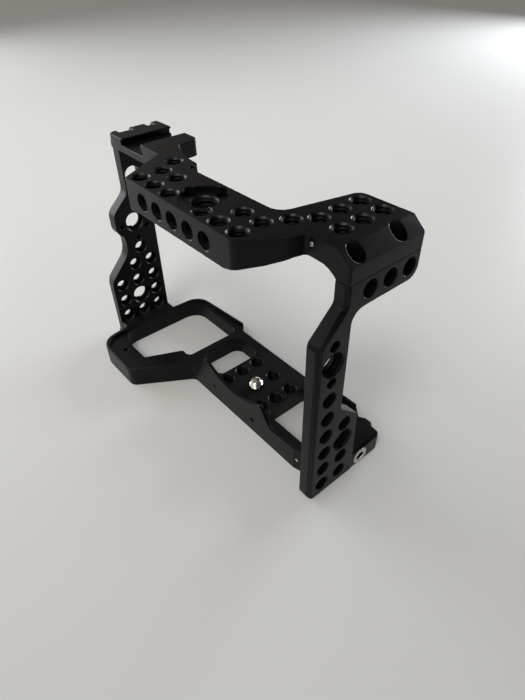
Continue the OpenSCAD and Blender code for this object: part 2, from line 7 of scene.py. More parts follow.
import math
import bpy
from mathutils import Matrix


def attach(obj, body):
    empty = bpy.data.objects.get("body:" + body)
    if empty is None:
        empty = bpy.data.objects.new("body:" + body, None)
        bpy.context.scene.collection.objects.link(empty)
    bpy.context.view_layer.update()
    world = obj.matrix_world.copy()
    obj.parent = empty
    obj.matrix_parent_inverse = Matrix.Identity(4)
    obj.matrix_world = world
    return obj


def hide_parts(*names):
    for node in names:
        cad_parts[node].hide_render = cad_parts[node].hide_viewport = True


bl_info = {
    "name": "Camera Cage",
    "version": (1, 0, 0),
    "blender": (4, 5, 0),
    "location": "View3D > Sidebar > Cage",
    "description": "Builds a black anodised camera cage with its screws on a pale floor",
    "category": "Object",
}

import bmesh
import bpy
from bpy.props import FloatProperty, FloatVectorProperty, IntProperty, PointerProperty
from bpy.types import Operator, Panel, PropertyGroup
from mathutils import Matrix, Vector

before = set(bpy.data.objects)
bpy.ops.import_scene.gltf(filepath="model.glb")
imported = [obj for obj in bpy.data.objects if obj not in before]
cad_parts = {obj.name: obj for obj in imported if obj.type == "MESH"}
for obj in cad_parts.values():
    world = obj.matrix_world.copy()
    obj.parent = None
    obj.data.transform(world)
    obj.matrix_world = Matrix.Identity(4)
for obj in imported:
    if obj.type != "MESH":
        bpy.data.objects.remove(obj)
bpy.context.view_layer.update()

MM = 0.001
BODY = "cage"
TO_PORT, TO_REAR, UP = (1, 0, 0), (0, 1, 0), (0, 0, 1)

# Places on the cage, in millimetres: half its width, the inner faces of the side plate
# and of the grip upright, the front of the bar, and the heights of the top face, of the
# undersides of the top plate and the bar, and of the camera seat.
HALF_W = 75.0
SIDE_X = 69.4
UPRIGHT_X = -69.0
FRONT_Y = -22.0
TOP_Z = 108.2
PLATE_Z = 101.2
BAR_Z = 96.4
SEAT_Z = 9.0

# The tapped holes, in millimetres. Most of them stand on a grid.
GRID = 9.5
FIRST_Z = 6.4
# seen from above: (x, y)
TOP_HOLES = [(x, 7.4 + GRID * i) for x in (52, 61.5) for i in range(3)] + [
    (46.8, 0.3), (42.1, -7.8), (32.6, -7.8), (-5.5, -8.1), (-15, -8.1), (-20, 0.2)]
BAR_HOLES = [(32.6, -17.3), (23.1, -17.3), (4, -17.5), (-5.5, -17.5), (-15, -17.5)]
SLOPE_HOLE = (42.1, -17.3)
BASE_HOLES = [
    (4.3, 0.4), (4.3, 9.55), (4.3, 18.7), (17.1, 18.5), (29.1, 18.5), (29.1, 9.4), (28.5, 1.5)]
SOCKET = (14.3, -10.2)
SCREW_AT = (17.1, 7.7)
# seen from the front: (x, z)
FRONT_HOLES = [(-7.6 + GRID * i, 102) for i in range(5)]
# seen from the sides: (y, z)
GRIP_HOLES = [
    (7.45, 41.6), (7.45, 32.1), (7.45, 22.6), (7.45, 13.1), (-1.87, 41.6), (-1.87, 32.1),
    (-1.87, 13.1), (-11.35, 32.1), (-11.35, 22.6), (-11.35, 13.1), (2.9, 49.9)]
GRIP_LARGE = [(-1.87, 22.6), (2.1, 64.4)]
SIDE_HOLES = [(-6.6, FIRST_Z + GRID * i) for i in range(6)] + [
    (3.25, FIRST_Z + GRID * i) for i in (0, 1, 3)] + [
    (7.4 + GRID * i, 93.3) for i in range(3)]
SIDE_LARGE = [(-6.4, 69.8), (3.25, 25.6)]

# How far the hole mouths in the top face are widened past the solid's, in millimetres.
MOUTH_MORE = 0.3
# Height of a thread's ridge as a share of its pitch.
RIDGE = 0.48


class CageSizes(PropertyGroup):
    """Sizes of the finish: edges, threads and ribs."""

    edge: FloatProperty(
        name="Edge break", description="Width of the broken edges",
        default=0.3 * MM, min=0.05 * MM, max=0.35 * MM, unit="LENGTH", precision=5)
    plate_bevel: FloatProperty(
        name="Plate bevel", description="Width of the bevel along the side plate's front edge",
        default=1.5 * MM, min=0.3 * MM, max=2 * MM, unit="LENGTH", precision=5)
    quarter_r: FloatProperty(
        name="1/4 inch thread", description="Major radius of the small tapped holes",
        default=3.175 * MM, min=3 * MM, max=3.4 * MM, unit="LENGTH", precision=5)
    large_r: FloatProperty(
        name="3/8 inch thread", description="Major radius of the large tapped holes",
        default=4.7625 * MM, min=4.5 * MM, max=5 * MM, unit="LENGTH", precision=5)
    quarter_pitch: FloatProperty(
        name="1/4 inch pitch", description="Lead of the small thread",
        default=1.27 * MM, min=1 * MM, max=1.6 * MM, unit="LENGTH", precision=5)
    large_pitch: FloatProperty(
        name="3/8 inch pitch", description="Lead of the large thread",
        default=1.5875 * MM, min=1.2 * MM, max=2 * MM, unit="LENGTH", precision=5)
    rib_pitch: FloatProperty(
        name="Rib pitch", description="Distance between the anti-slip ribs",
        default=1.1 * MM, min=0.5 * MM, max=2 * MM, unit="LENGTH", precision=5)
    rib_rise: FloatProperty(
        name="Rib height", description="How far the ribs stand above the seat",
        default=0.1 * MM, min=0.02 * MM, max=0.4 * MM, unit="LENGTH", precision=5)
    thread_steps: IntProperty(
        name="Thread steps", description="Points in each turn of a thread", default=28,
        min=12, max=48)


class CageColours(PropertyGroup):
    """Colours of the finishes and of the floor."""

    black: FloatVectorProperty(
        name="Anodised black", description="Colour of the anodised faces", subtype="COLOR",
        size=3, default=(0.0026, 0.0027, 0.0032), min=0, max=1)
    # The broken edges' lighter, metallic colour is a painted highlight, standing in for the light
    # the edges catch.
    painted_edge_highlight: FloatVectorProperty(
        name="Broken edge", description="Colour of the broken edges", subtype="COLOR",
        size=3, default=(0.3, 0.305, 0.32), min=0, max=1)
    steel: FloatVectorProperty(
        name="Bright steel", description="Colour of the bright screws", subtype="COLOR",
        size=3, default=(0.62, 0.60, 0.57), min=0, max=1)
    dark_steel: FloatVectorProperty(
        name="Black steel", description="Colour of the blackened screws", subtype="COLOR",
        size=3, default=(0.02, 0.02, 0.022), min=0, max=1)
    floor: FloatVectorProperty(
        name="Floor", description="Colour of the table top", subtype="COLOR",
        size=3, default=(0.56, 0.56, 0.55), min=0, max=1)


def sizes():
    """The size settings of this scene."""
    return bpy.context.scene.cage_sizes


def colours():
    """The colour settings of this scene."""
    return bpy.context.scene.cage_colours


# --- materials ---

# Noise scales, in cycles per metre: bead-blasted grain, dull patches, turning marks and
# the clouds of the table top.
GRAIN, PATCHES, STREAKS, CLOUDS = 5200, 55, 900, 2.2
# Nearly all values of a noise lie between these two.
NOISE_LOW, NOISE_HIGH = 0.3, 0.7


def new_material(name):
    """An empty material with an output and its principled shader."""
    mat = bpy.data.materials.new(name)
    mat.use_nodes = True
    tree = mat.node_tree
    tree.nodes.clear()
    out = tree.nodes.new("ShaderNodeOutputMaterial")
    shader = tree.nodes.new("ShaderNodeBsdfPrincipled")
    tree.links.new(shader.outputs[0], out.inputs[0])
    return mat, tree, shader


def noise(tree, scale, detail, stretch=(1, 1, 1)):
    """A noise texture on object coordinates; scale is in cycles per metre."""
    coords = tree.nodes.new("ShaderNodeTexCoord")
    mapping = tree.nodes.new("ShaderNodeMapping")
    mapping.inputs["Scale"].default_value = stretch
    texture = tree.nodes.new("ShaderNodeTexNoise")
    texture.inputs["Scale"].default_value = scale
    texture.inputs["Detail"].default_value = detail
    tree.links.new(coords.outputs["Object"], mapping.inputs[0])
    tree.links.new(mapping.outputs[0], texture.inputs["Vector"])
    return texture.outputs[0]


def spread(tree, value, low, high):
    """A noise's values mapped onto low to high."""
    node = tree.nodes.new("ShaderNodeMapRange")
    node.inputs["From Min"].default_value = NOISE_LOW
    node.inputs["From Max"].default_value = NOISE_HIGH
    node.inputs["To Min"].default_value = low
    node.inputs["To Max"].default_value = high
    tree.links.new(value, node.inputs["Value"])
    return node.outputs[0]


def shades(colour, darker, lighter):
    """A darker and a lighter shade of a colour."""
    return [c * darker for c in colour], [min(1, c * lighter) for c in colour]


def tint(tree, value, dark, light):
    """A colour between dark and light, picked by value."""
    node = tree.nodes.new("ShaderNodeMix")
    node.data_type = "RGBA"
    node.inputs["A"].default_value = (*dark, 1)
    node.inputs["B"].default_value = (*light, 1)
    tree.links.new(value, node.inputs["Factor"])
    return node.outputs["Result"]


def bump(tree, shader, value, strength, distance):
    """Roughens the shader's surface by a height value."""
    node = tree.nodes.new("ShaderNodeBump")
    node.inputs["Strength"].default_value = strength
    node.inputs["Distance"].default_value = distance
    tree.links.new(value, node.inputs["Height"])
    tree.links.new(node.outputs[0], shader.inputs["Normal"])


def anodised(name, colour, rough, metal, gloss):
    """Bead-blasted anodised aluminium: fine grain, and patches a little duller."""
    mat, tree, shader = new_material(name)
    patches = noise(tree, PATCHES, detail=3)
    shade = tint(tree, spread(tree, patches, 0, 1), *shades(colour, 0.82, 1.25))
    tree.links.new(shade, shader.inputs["Base Color"])
    tree.links.new(spread(tree, patches, rough - 0.04, rough + 0.05), shader.inputs["Roughness"])
    shader.inputs["Metallic"].default_value = metal
    shader.inputs["Specular IOR Level"].default_value = gloss
    bump(tree, shader, noise(tree, GRAIN, detail=2), strength=0.32, distance=0.03 * MM)
    return mat


def steel(name, colour, rough, streaks):
    """Turned steel with fine streaks; streaks is how they are squeezed along each axis."""
    mat, tree, shader = new_material(name)
    streak = noise(tree, STREAKS, detail=3, stretch=streaks)
    shade = tint(tree, streak, *shades(colour, 0.85, 1.1))
    tree.links.new(shade, shader.inputs["Base Color"])
    tree.links.new(spread(tree, streak, rough - 0.05, rough + 0.08), shader.inputs["Roughness"])
    shader.inputs["Metallic"].default_value = 1
    bump(tree, shader, streak, strength=0.15, distance=0.02 * MM)
    return mat


FINISHES = {}


def finish(name):
    """The named finish, made when first asked for."""
    if name not in FINISHES:
        tone = colours()
        makers = {
            "anodised": lambda: anodised(
                "anodised_black", tone.black, rough=0.36, metal=0.0, gloss=0.17),
            # Broken edges and hole mouths: a lighter metallic finish that paints their
            # highlights.
            "edge": lambda: anodised(
                "anodised_edge_highlight", tone.painted_edge_highlight, rough=0.22, metal=0.8, gloss=0.5),
            "thread": lambda: anodised(
                "anodised_thread", tone.black, rough=0.45, metal=0.0, gloss=0.04),
            "steel": lambda: steel(
                "bright_steel", tone.steel, rough=0.2, streaks=(1, 1, 6)),
            "satin": lambda: steel(
                "satin_steel", tone.steel, rough=0.5, streaks=(3, 1, 1)),
            "dark": lambda: steel(
                "black_steel", tone.dark_steel, rough=0.32, streaks=(1, 1, 4)),
        }
        FINISHES[name] = makers[name]()
    return FINISHES[name]


# --- meshes ---

# Corners of a machined piece that turn by more than SHARP degrees are broken, and so are
# long ones that turn by more than BLUNT. A screw's are from TURNED degrees on, and the
# tray's lip is rounded where it turns by more than LIP.
SHARP, BLUNT, TURNED, LIP = 55, 40, 50, 80
LONG_EDGE = 9 * MM
# Shading is smooth across corners that turn by less than this many degrees.
SMOOTH_BODY, SMOOTH_RIDGE = 32, 50
# A unit normal's share of an axis, on a face square to the axis and on one along it.
SQUARE_ON, EDGE_ON = 0.99, 0.01


def add_piece(mesh, name, body, materials, replaced=()):
    """Puts a mesh into the scene as a piece of the object."""
    piece = bpy.data.objects.new(name, mesh)
    bpy.context.scene.collection.objects.link(piece)
    mesh.materials.clear()
    for mat in materials:
        mesh.materials.append(mat)
    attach(piece, body)
    if replaced:
        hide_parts(*replaced)
    return piece


def smooth(mesh, degrees):
    """Shades smooth, with sharp edges past an angle."""
    mesh.shade_smooth()
    mesh.set_sharp_from_angle(angle=math.radians(degrees))


def clean_copy(node):
    """A node's mesh with its loose triangles joined into flat faces."""
    weld, level = 0.004 * MM, math.radians(0.6)  # corners that meet, faces that are flat
    work = bmesh.new()
    work.from_mesh(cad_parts[node].data)
    bmesh.ops.remove_doubles(work, verts=work.verts, dist=weld)
    bmesh.ops.dissolve_limit(
        work, angle_limit=level, use_dissolve_boundaries=False,
        verts=work.verts, edges=work.edges)
    work.normal_update()
    return work


def bevel(work, edges, width, segments=2, material=1):
    """Breaks the given edges; the new faces take the given material."""
    bmesh.ops.bevel(
        work, geom=edges, offset=width, offset_type="OFFSET", segments=segments, profile=0.5,
        affect="EDGES", clamp_overlap=False, material=material, loop_slide=True)


def front_edges(work, low):
    """The edges between a piece's port and front faces, above a height in millimetres."""
    port_x = (HALF_W - 0.1) * MM
    forwards, sideways = 0.5, 0.1

    def port(face):
        return face.normal.x > SQUARE_ON

    def front(face):
        return -face.normal.y > forwards and abs(face.normal.x) < sideways

    return [
        e for e in work.edges
        if len(e.link_faces) == 2 and min(v.co.z for v in e.verts) > low * MM
        and min(v.co.x for v in e.verts) > port_x
        and any(port(f) for f in e.link_faces) and any(front(f) for f in e.link_faces)]


def corner_edges(work, least_degrees, pick=None):
    """The outward corners of a mesh that turn by at least an angle."""
    least = math.radians(least_degrees)
    return [
        e for e in work.edges
        if len(e.link_faces) == 2 and e.is_convex and e.calc_face_angle(0) > least
        and (pick is None or pick(e))]


def broken_edges(work):
    """The corners of a machined piece that are broken."""
    def long_and_blunt(edge):
        return edge.calc_length() > LONG_EDGE and edge.calc_face_angle(0) <= math.radians(SHARP)

    return corner_edges(work, SHARP) + corner_edges(work, BLUNT, long_and_blunt)


def evaluated_mesh(holder, name):
    """The plain mesh that an object's modifiers make; the object and its own mesh go."""
    source = holder.data
    graph = bpy.context.evaluated_depsgraph_get()
    mesh = bpy.data.meshes.new_from_object(holder.evaluated_get(graph))
    mesh.name = name
    bpy.data.objects.remove(holder)
    bpy.data.meshes.remove(source)
    return mesh


def to_mesh(work, name):
    """Ends mesh work: a named mesh, smooth round its bevels and flat on its planes."""
    rough = bpy.data.meshes.new(name + "_rough")
    work.to_mesh(rough)
    work.free()
    smooth(rough, SMOOTH_BODY)
    holder = bpy.data.objects.new(name + "_rough", rough)
    bpy.context.scene.collection.objects.link(holder)
    weighted = holder.modifiers.new("flat", "WEIGHTED_NORMAL")
    weighted.mode = "FACE_AREA"
    weighted.weight = 100
    weighted.thresh = 0.005
    weighted.keep_sharp = True
    return evaluated_mesh(holder, name)


def paint_mouth_highlights(work):
    """Gives the small 45 degree facets of the hole mouths the broken edges' lighter finish, a
    painted highlight.
    """
    largest, slack = 0.5 * MM * MM, 0.02
    for face in work.faces:
        if face.calc_area() < largest and any(
                abs(abs(c) - math.sqrt(0.5)) < slack for c in face.normal):
            face.material_index = 1


def widen_mouths(work, holes, top, bore, more):
    """Deepens the chamfers of upright holes at a flat top, all in millimetres.

    The outer ring of each chamfer moves outwards and its inner ring moves down.
    """
    level, low, high, wall = 0.02, 0.1, 0.7, 0.12
    for v in work.verts:
        for x, y in holes:
            out = Vector((v.co.x / MM - x, v.co.y / MM - y))
            reach, drop = out.length, top - v.co.z / MM
            if abs(drop) < level and bore + low < reach < bore + high:
                out *= (reach + more) / reach
                v.co.x, v.co.y = (x + out.x) * MM, (y + out.y) * MM
            elif low < drop < high and abs(reach - bore) < wall:
                v.co.z -= more * MM


def machined(node, first):
    """A machined piece: its solid with broken edges in the lighter edge finish, a painted
    highlight, after some work of its own.
    """
    work = clean_copy(node)
    paint_mouth_highlights(work)
    first(work)
    bevel(work, broken_edges(work), sizes().edge)
    return add_piece(
        to_mesh(work, node + "_body"), node + "_body", BODY,
        [finish("anodised"), finish("edge")], (node,))


def turned(node, body, look, width, rim=None):
    """A turned screw or washer: its solid with finely broken corners, which may take a brighter
    finish as a painted highlight.
    """
    work = clean_copy(node)
    bevel(work, corner_edges(work, TURNED), width, 1)
    return add_piece(
        to_mesh(work, node + "_turned"), node + "_turned", body,
        [finish(look), finish(rim or look)], (node,))


# --- geometry nodes ---


def new_tree(name, inputs):
    """A geometry tree with a geometry in and out and named inputs."""
    tree = bpy.data.node_groups.new(name, "GeometryNodeTree")
    tree.interface.new_socket("Geometry", in_out="INPUT", socket_type="NodeSocketGeometry")
    for label, kind, value in inputs:
        socket = tree.interface.new_socket(label, in_out="INPUT", socket_type=kind)
        if value is not None:
            socket.default_value = value
    tree.interface.new_socket("Geometry", in_out="OUTPUT", socket_type="NodeSocketGeometry")
    return tree, tree.nodes.new("NodeGroupInput"), tree.nodes.new("NodeGroupOutput")


def point_value(tree, name, kind="FLOAT_VECTOR"):
    """An attribute of the points, by its name."""
    node = tree.nodes.new("GeometryNodeInputNamedAttribute")
    node.data_type = kind
    node.inputs["Name"].default_value = name
    return node.outputs["Attribute"]


def swept_bar(tree, path, radius, sides):
    """A closed bar with a many-sided section, along a path."""
    profile = tree.nodes.new("GeometryNodeCurvePrimitiveCircle")
    profile.inputs["Resolution"].default_value = sides
    tree.links.new(radius, profile.inputs["Radius"])
    sweep = tree.nodes.new("GeometryNodeCurveToMesh")
    tree.links.new(path, sweep.inputs["Curve"])
    tree.links.new(profile.outputs[0], sweep.inputs["Profile Curve"])
    sweep.inputs["Fill Caps"].default_value = True
    return sweep.outputs[0]


def stand_on_points(tree, source, sink, shape, axis, heading, scale=None):
    """Ends a tree: the shape on every point, its axis along a heading, real and painted."""
    new, link = tree.nodes.new, tree.links.new
    turn = new("FunctionNodeAlignRotationToVector")
    turn.axis = axis
    link(point_value(tree, heading), turn.inputs["Vector"])
    place = new("GeometryNodeInstanceOnPoints")
    link(source.outputs["Geometry"], place.inputs["Points"])
    link(shape, place.inputs["Instance"])
    link(turn.outputs[0], place.inputs["Rotation"])
    if scale is not None:
        link(scale, place.inputs["Scale"])
    real = new("GeometryNodeRealizeInstances")
    link(place.outputs[0], real.inputs[0])
    paint = new("GeometryNodeSetMaterial")
    link(real.outputs[0], paint.inputs["Geometry"])
    link(source.outputs["Material"], paint.inputs["Material"])
    link(paint.outputs[0], sink.inputs[0])


def thread_tree():
    """A helical ridge on every point, along the point's axis."""
    name = "thread_ridge"
    if name in bpy.data.node_groups:
        return bpy.data.node_groups[name]
    tree, source, sink = new_tree(name, [
        ("Radius", "NodeSocketFloat", 3.175 * MM), ("Turns", "NodeSocketFloat", 5.0),
        ("Length", "NodeSocketFloat", 6.35 * MM), ("Ridge", "NodeSocketFloat", 0.5 * MM),
        ("Steps", "NodeSocketInt", 28), ("Material", "NodeSocketMaterial", None)])
    new, link = tree.nodes.new, tree.links.new
    spiral = new("GeometryNodeCurveSpiral")
    link(source.outputs["Steps"], spiral.inputs["Resolution"])
    link(source.outputs["Turns"], spiral.inputs["Rotations"])
    for end in ("Start Radius", "End Radius"):
        link(source.outputs["Radius"], spiral.inputs[end])
    link(source.outputs["Length"], spiral.inputs["Height"])
    normals = new("GeometryNodeSetCurveNormal")
    normals.mode = "Z_UP"
    link(spiral.outputs[0], normals.inputs["Curve"])
    ridge = swept_bar(tree, normals.outputs[0], source.outputs["Ridge"], sides=4)
    stand_on_points(tree, source, sink, ridge, "Z", "axis")
    return tree


def rib_tree():
    """A low round rib on every point, stretched to the point's reach along its heading."""
    name = "seat_rib"
    if name in bpy.data.node_groups:
        return bpy.data.node_groups[name]
    tree, source, sink = new_tree(name, [
        ("Width", "NodeSocketFloat", 0.3 * MM), ("Material", "NodeSocketMaterial", None)])
    line = tree.nodes.new("GeometryNodeCurvePrimitiveLine")
    line.inputs["Start"].default_value = (-0.5, 0, 0)
    line.inputs["End"].default_value = (0.5, 0, 0)
    rib = swept_bar(tree, line.outputs[0], source.outputs["Width"], sides=8)
    scale = tree.nodes.new("ShaderNodeCombineXYZ")
    scale.inputs["Y"].default_value = 1
    scale.inputs["Z"].default_value = 1
    tree.links.new(point_value(tree, "reach", "FLOAT"), scale.inputs["X"])
    stand_on_points(tree, source, sink, rib, "X", "heading", scale.outputs[0])
    return tree


def bake_tree(name, points, attributes, tree, values):
    """Runs a tree on loose points, in millimetres, and gives back the mesh it makes."""
    seed = bpy.data.meshes.new(name + "_points")
    seed.from_pydata([tuple(c * MM for c in p) for p in points], [], [])
    for label, kind, rows in attributes:
        layer = seed.attributes.new(label, kind, "POINT")
        for row, item in zip(rows, layer.data):
            if kind == "FLOAT_VECTOR":
                item.vector = row
            else:
                item.value = row
    holder = bpy.data.objects.new(name + "_points", seed)
    bpy.context.scene.collection.objects.link(holder)
    modifier = holder.modifiers.new("build", "NODES")
    modifier.node_group = tree
    for socket in tree.interface.items_tree:
        if socket.item_type == "SOCKET" and socket.in_out == "INPUT" and socket.name in values:
            modifier[socket.identifier] = values[socket.name]
    return evaluated_mesh(holder, name)


def thread_group(name, starts, axis, radius, pitch, length):
    """Thread ridges in like holes. starts, where each hole begins, and length are in mm."""
    depth = RIDGE * pitch
    sunk = depth * 0.05
    end = depth / MM + 0.05
    length -= 2 * end
    places = [tuple(c + end * a for c, a in zip(place, axis)) for place in starts]
    mesh = bake_tree(
        name, places, [("axis", "FLOAT_VECTOR", [axis] * len(places))], thread_tree(),
        {"Radius": radius + sunk, "Turns": length * MM / pitch, "Length": length * MM,
         "Ridge": depth, "Steps": sizes().thread_steps, "Material": finish("thread")})
    smooth(mesh, SMOOTH_RIDGE)
    return add_piece(mesh, name, BODY, [finish("thread")])


# --- the stage ---


def lay_floor(scene):
    """A plain pale table top, which is no part of the object."""
    far = 3.0
    mesh = bpy.data.meshes.new("floor")
    mesh.from_pydata(
        [(-far, -far, 0), (far, -far, 0), (far, far, 0), (-far, far, 0)], [], [(0, 1, 2, 3)])
    floor = bpy.data.objects.new("floor", mesh)
    scene.collection.objects.link(floor)
    mat, tree, shader = new_material("table_top")
    shade = tint(tree, noise(tree, CLOUDS, detail=2), *shades(colours().floor, 0.97, 1.03))
    tree.links.new(shade, shader.inputs["Base Color"])
    shader.inputs["Roughness"].default_value = 0.42
    shader.inputs["Specular IOR Level"].default_value = 0.06
    mesh.materials.append(mat)


def light_world(scene):
    """A room that is light towards the front left and dim elsewhere."""
    bright_side = Vector((-0.5, -0.8, 0.3)).normalized()
    dim, bright = (0.09, 0.072, 0.062), (0.95, 0.93, 0.88)
    world = bpy.data.worlds.new("studio")
    scene.world = world
    world.use_nodes = True
    tree = world.node_tree
    tree.nodes.clear()
    out = tree.nodes.new("ShaderNodeOutputWorld")
    light = tree.nodes.new("ShaderNodeBackground")
    coords = tree.nodes.new("ShaderNodeTexCoord")
    facing = tree.nodes.new("ShaderNodeVectorMath")
    facing.operation = "DOT_PRODUCT"
    facing.inputs[1].default_value = bright_side
    tree.links.new(coords.outputs["Generated"], facing.inputs[0])
    ramp = tree.nodes.new("ShaderNodeMapRange")
    ramp.inputs["From Min"].default_value = 0
    tree.links.new(facing.outputs["Value"], ramp.inputs["Value"])
    tree.links.new(tint(tree, ramp.outputs[0], dim, bright), light.inputs["Color"])
    tree.links.new(light.outputs[0], out.inputs[0])


def hang_lamps(scene):
    """One lamp overhead and two low windows.

    Each row holds name, place, aim, size, spread in degrees, power in watts and colour.
    """
    lamps = [
        ("ceiling", (0.1, -0.6, 1.2), (-0.24, 0.06, 0), 0.8, 42, 1.32, (1.0, 0.985, 0.95)),
        ("left_window", (-1.05, -0.28, 0.24), (0, 0, 0.05), 0.7, 180, 9.0, (0.95, 0.97, 1.0)),
        ("back_window", (-0.05, 1.2, 0.26), (0, 0, 0.05), 0.5, 180, 15.0, (0.9, 0.95, 1.0))]
    for name, place, aim, size, spread_angle, power, colour in lamps:
        data = bpy.data.lights.new(name, "AREA")
        data.size = size
        data.energy = power
        data.spread = math.radians(spread_angle)
        data.color = colour
        lamp = bpy.data.objects.new(name, data)
        lamp.location = place
        lamp.rotation_mode = "QUATERNION"
        lamp.rotation_quaternion = (Vector(aim) - Vector(place)).to_track_quat("-Z", "Y")
        scene.collection.objects.link(lamp)


def aim_camera(scene):
    """A camera at the photograph's viewing angle."""
    place = (0.1534, -0.1005, 0.180)
    azimuth, elevation, roll = (math.radians(a) for a in (50.45, 40.5, -1.25))
    data = bpy.data.cameras.new("camera")
    data.sensor_fit = "AUTO"
    data.sensor_width = 36
    data.lens = 26.18
    data.clip_start = 0.01
    camera = bpy.data.objects.new("camera", data)
    scene.collection.objects.link(camera)
    back = Vector((
        math.sin(azimuth) * math.cos(elevation), -math.cos(azimuth) * math.cos(elevation),
        math.sin(elevation)))
    right = (-back).cross(Vector(UP)).normalized()
    up = back.cross(right)
    facing = Matrix((right, up, back)).transposed() @ Matrix.Rotation(roll, 3, "Z")
    camera.matrix_world = Matrix.Translation(place) @ facing.to_4x4()
    scene.camera = camera


class CAGE_OT_stage(Operator):
    """Make the table top, the lamps, the world and the camera"""

    bl_idname = "cage.stage"
    bl_label = "Stage"

    def execute(self, context):
        scene = context.scene
        scene.view_settings.view_transform = "Standard"
        lay_floor(scene)
        light_world(scene)
        hang_lamps(scene)
        aim_camera(scene)
        return {"FINISHED"}


# --- the machined pieces ---


class CAGE_OT_top_frame(Operator):
    """Make the top frame with the shoe and the grip upright"""

    bl_idname = "cage.top_frame"
    bl_label = "Top frame"

    def execute(self, context):
        size = sizes()
        bevel_low = 97

        def bevel_and_mouths(work):
            """The top end of the side plate's wide bevel, and wider hole mouths."""
            holes = TOP_HOLES + BAR_HOLES + [SLOPE_HOLE]
            widen_mouths(work, holes, TOP_Z, size.quarter_r / MM, MOUTH_MORE)
            bevel(work, front_edges(work, bevel_low), size.plate_bevel, 1, 0)

        machined("top_frame", bevel_and_mouths)
        return {"FINISHED"}


class CAGE_OT_side_plate(Operator):
    """Make the port side plate with its long front bevel"""

    bl_idname = "cage.side_plate"
    bl_label = "Side plate"

    def execute(self, context):
        bevel_low = 79

        def long_bevel(work):
            """The wide bevel that goes on up the front edge from the straight stretch."""
            bevel(work, front_edges(work, bevel_low), sizes().plate_bevel, 1, 0)

        machined("port_side_plate", long_bevel)
        return {"FINISHED"}


class CAGE_OT_base_plate(Operator):
    """Make the base plate"""

    bl_idname = "cage.base_plate"
    bl_label = "Base plate"

    def execute(self, context):
        lip_width = 0.7 * MM
        lip_low = SEAT_Z * MM + 0.5 * MM
        tray_end, tray_middle = -17.5 * MM, Vector((-45 * MM, 0, 0))

        def on_lip(edge):
            """Whether an edge is the outer top one of the tray's lip."""
            flat = [f for f in edge.link_faces if f.normal.z > SQUARE_ON]
            upright = [f for f in edge.link_faces if abs(f.normal.z) < EDGE_ON]
            place = edge.verts[0].co
            if not flat or not upright or place.x > tray_end:
                return False
            return place.z > lip_low and (place - tray_middle).dot(upright[0].normal) > 0

        machined(
            "base_plate",
            lambda work: bevel(work, corner_edges(work, LIP, on_lip), lip_width, 3, 0))
        return {"FINISHED"}


class CAGE_OT_threads(Operator):
    """Cut the threads into every tapped hole"""

    bl_idname = "cage.threads"
    bl_label = "Threads"

    def execute(self, context):
        size = sizes()
        small = (size.quarter_r, size.quarter_pitch)
        large = (size.large_r, size.large_pitch)
        slope_z = BAR_Z + 1.4  # where the bar's underside rises to under the slope hole
        bar_deep, socket_deep = 7.2, 5.4
        grip, side = (-HALF_W, HALF_W + UPRIGHT_X), (SIDE_X, HALF_W - SIDE_X)
        for name, starts, axis, kind, length in (
                ("threads_top", [(x, y, PLATE_Z) for x, y in TOP_HOLES],
                 UP, small, TOP_Z - PLATE_Z),
                ("threads_bar", [(x, y, BAR_Z) for x, y in BAR_HOLES],
                 UP, small, TOP_Z - BAR_Z),
                ("threads_slope", [(*SLOPE_HOLE, slope_z)], UP, small, TOP_Z - slope_z),
                ("threads_front", [(x, FRONT_Y, z) for x, z in FRONT_HOLES],
                 TO_REAR, small, bar_deep),
                ("threads_socket", [(*SOCKET, PLATE_Z)], UP, large, socket_deep),
                ("threads_grip", [(grip[0], y, z) for y, z in GRIP_HOLES],
                 TO_PORT, small, grip[1]),
                ("threads_grip_large", [(grip[0], y, z) for y, z in GRIP_LARGE],
                 TO_PORT, large, grip[1]),
                ("threads_side", [(side[0], y, z) for y, z in SIDE_HOLES],
                 TO_PORT, small, side[1]),
                ("threads_side_large", [(side[0], y, z) for y, z in SIDE_LARGE],
                 TO_PORT, large, side[1]),
                ("threads_base", [(x, y, 0) for x, y in BASE_HOLES], UP, small, SEAT_Z)):
            thread_group(name, starts, axis, *kind, length)
        return {"FINISHED"}


class CAGE_OT_ribs(Operator):
    """Cut the fine anti-slip ribs into the seat round the camera screw"""

    bl_idname = "cage.ribs"
    bl_label = "Seat ribs"

    def execute(self, context):
        size = sizes()
        pitch, rise = size.rib_pitch / MM, size.rib_rise / MM
        # the seat's two corners, the bare ring round each hole, and the shortest rib
        low, high = (1.2, -3.6), (31.8, 28.6)
        clear = size.quarter_r / MM + 1.1
        shortest = 0.8
        # each rib is walked in small steps, both ways from the seat's middle
        step, steps, rows = 0.2, 130, 26
        heading = Vector((-1, 1)).normalized()
        across = Vector((1, 1)).normalized()
        centre = Vector(((low[0] + high[0]) / 2, (low[1] + high[1]) / 2))

        def open_seat(p):
            inside = all(a < c < b for a, c, b in zip(low, p, high))
            return inside and all((p - Vector(h)).length > clear for h in BASE_HOLES + [SCREW_AT])

        points, reaches = [], []
        for row in range(-rows, rows + 1):
            start = None
            for k in range(-steps, steps + 1):
                p = centre + across * (row * pitch) + heading * (k * step)
                if open_seat(p):
                    start = p if start is None else start
                    last = p
                elif start is not None:
                    if (last - start).length > shortest:
                        points.append((*((start + last) / 2), SEAT_Z))
                        reaches.append((last - start).length * MM)
                    start = None
        mesh = bake_tree(
            "seat_ribs", [(x, y, z - rise) for x, y, z in points],
            [("reach", "FLOAT", reaches),
             ("heading", "FLOAT_VECTOR", [(*heading, 0)] * len(points))],
            rib_tree(), {"Width": 2 * rise * MM, "Material": finish("thread")})
        smooth(mesh, SMOOTH_RIDGE)
        add_piece(mesh, "seat_ribs", BODY, [finish("thread")])
        return {"FINISHED"}


# --- the screws ---


